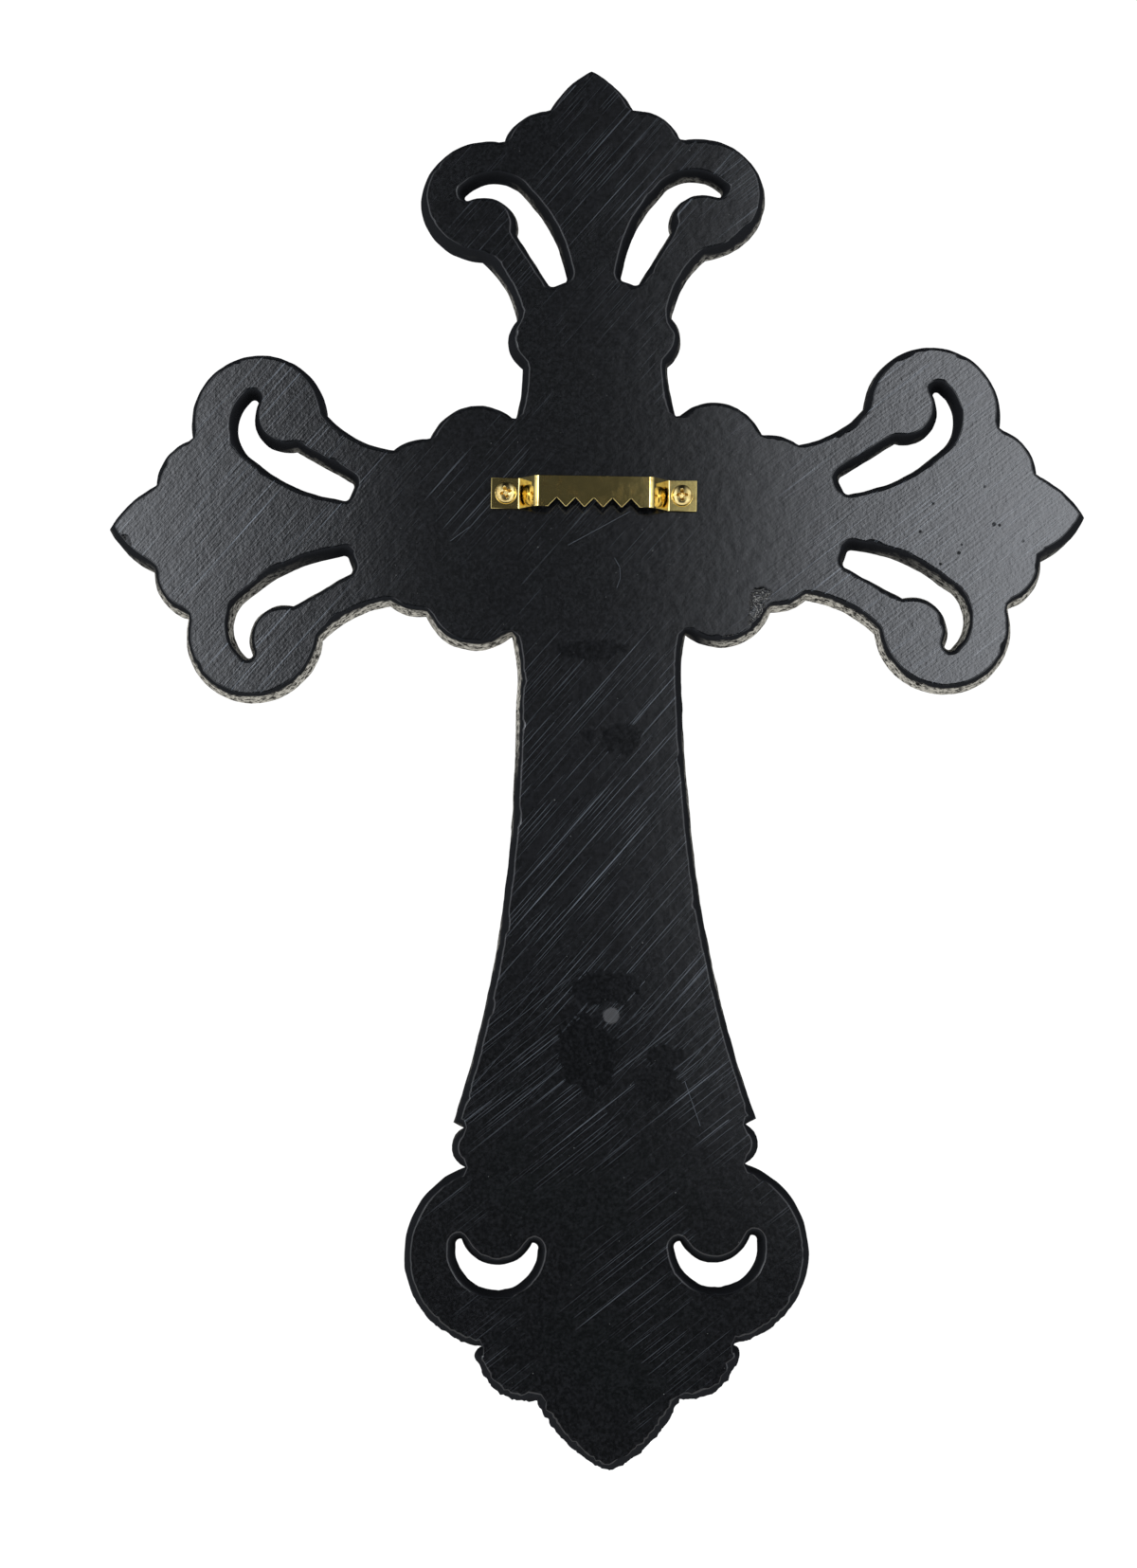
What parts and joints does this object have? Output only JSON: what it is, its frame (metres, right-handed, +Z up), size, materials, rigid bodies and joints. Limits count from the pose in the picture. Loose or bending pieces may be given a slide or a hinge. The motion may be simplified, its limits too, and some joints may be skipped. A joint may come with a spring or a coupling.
{
  "type": "wall cross",
  "caption": "Cast wall cross with fleur-shaped arms, pierced scrolls and a flared foot, flat behind, hung by a screwed-on sawtooth strip.",
  "frame": {"origin": "where the nail bears: the top of the middle notch of the sawtooth strip, halfway through the sheet's thickness", "axes": "+Z up along the cross, +Y from the cross to the wall, +X to the right of someone who faces the carved front"},
  "size_m": [0.215, 0.0208, 0.3082],
  "materials": {
    "black_resin": "satin black paint on sanded resin",
    "brass_plating": "bright brass plating on sheet steel",
    "screw_plating": "brass plating on steel"
  },
  "bodies": {
    "root": {"cross": "black_resin", "sawtooth_hanger": "brass_plating", "screw_left": "screw_plating", "screw_right": "screw_plating"}
  },
  "joints": []
}
